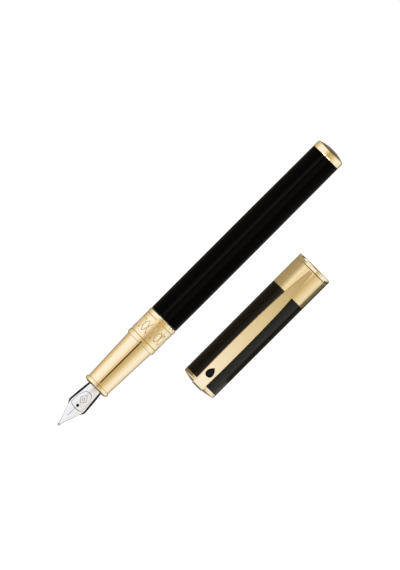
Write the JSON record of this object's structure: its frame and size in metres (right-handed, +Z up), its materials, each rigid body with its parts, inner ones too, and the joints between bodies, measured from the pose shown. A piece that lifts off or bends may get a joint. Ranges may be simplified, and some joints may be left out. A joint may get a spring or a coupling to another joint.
{
  "type": "fountain pen",
  "caption": "Slim lacquered fountain pen with gilt grip, piston converter and steel nib, its push-on cap with a tapered clip lying beside it.",
  "frame": {"origin": "on the table, at the middle of the rectangle that the pen and its cap cover", "axes": "+X along the pen from the nib to the finial, +Y from the cap towards the pen, +Z up"},
  "size_m": [0.1298, 0.0362, 0.0154],
  "materials": {
    "gilt": "polished gold plate",
    "gilt_engraved": "gold plate, engraved",
    "gilt_satin": "gold plate, fine satin",
    "gilt_clip": "gold plate, fine satin",
    "barrel_lacquer": "deep gloss lacquer",
    "cap_lacquer": "gloss lacquer",
    "drop_black": "high gloss",
    "nib_steel": "polished steel",
    "nib_tip": "ground hard alloy",
    "feed_black": "satin",
    "brass": "machined",
    "spring_steel": "bright",
    "liner_plastic": "moulded",
    "seal_rubber": "smooth",
    "clear_plastic": "clear polystyrene",
    "converter_black": "moulded",
    "rod_plastic": "moulded"
  },
  "bodies": {
    "section": {"grip_section": "gilt", "section_ring": "gilt", "section_band": "gilt_engraved", "section_rear_ring": "gilt", "threaded_sleeve": "brass", "nib_housing": "liner_plastic", "liner_washer": "seal_rubber", "section_liner": "liner_plastic", "nib": "nib_steel", "nib_tipping": "nib_tip", "feed": "feed_black"},
    "barrel_ring": {"barrel_seal": "seal_rubber"},
    "barrel": {"barrel_tube": "barrel_lacquer", "barrel_insert": "brass", "barrel_finial": "gilt", "finial_screw": "brass"},
    "converter": {"converter_socket": "converter_black", "converter_tube": "clear_plastic", "converter_collar": "spring_steel", "converter_guide": "converter_black"},
    "knob": {"converter_knob": "converter_black"},
    "piston": {"piston_head": "converter_black", "piston_seals": "seal_rubber", "piston_rod": "rod_plastic"},
    "cap": {"cap_tube": "cap_lacquer", "cap_core": "brass", "cap_band": "gilt_satin", "cap_lip": "gilt", "snap_ring": "spring_steel", "cap_dome": "gilt", "crown_block": "brass", "crown_screw": "brass", "inner_cap": "liner_plastic", "clip_pin": "spring_steel", "clip_spring": "spring_steel"},
    "clip": {"clip": "gilt_clip", "clip_drop": "drop_black"}
  },
  "joints": [
    {"name": "barrel_draw", "type": "slide", "parent": "section", "child": "barrel_ring", "axis": [1, 0, 0], "range_m": [0, 0.07]},
    {"name": "barrel_turn", "type": "hinge", "parent": "barrel_ring", "child": "barrel", "pos_m": [-0.01487, 0.01227, 0.00578], "axis": [1, 0, 0], "range_deg": [0, 2160]},
    {"name": "converter_pull", "type": "slide", "parent": "section", "child": "converter", "axis": [1, 0, 0], "range_m": [0, 0.0075]},
    {"name": "knob_turn", "type": "hinge", "parent": "converter", "child": "knob", "pos_m": [0.03513, 0.01227, 0.00578], "axis": [1, 0, 0], "range_deg": [0, 1800]},
    {"name": "piston_travel", "type": "slide", "parent": "converter", "child": "piston", "axis": [-1, 0, 0], "range_m": [0, 0.02]},
    {"name": "cap_slide", "type": "slide", "parent": "section", "child": "cap", "axis": [-1, 0, 0], "range_m": [0, 0.1]},
    {"name": "clip_lift", "type": "hinge", "parent": "cap", "child": "clip", "pos_m": [-0.01947, -0.01123, 0.01143], "axis": [0, -1, 0], "range_deg": [0, 3], "stiffness_Nm_per_rad": 2, "springref_deg": -1.15}
  ],
  "couplings": [
    {"joint": "knob_turn", "follows": "piston_travel", "rad_per_m": 1570}
  ]
}
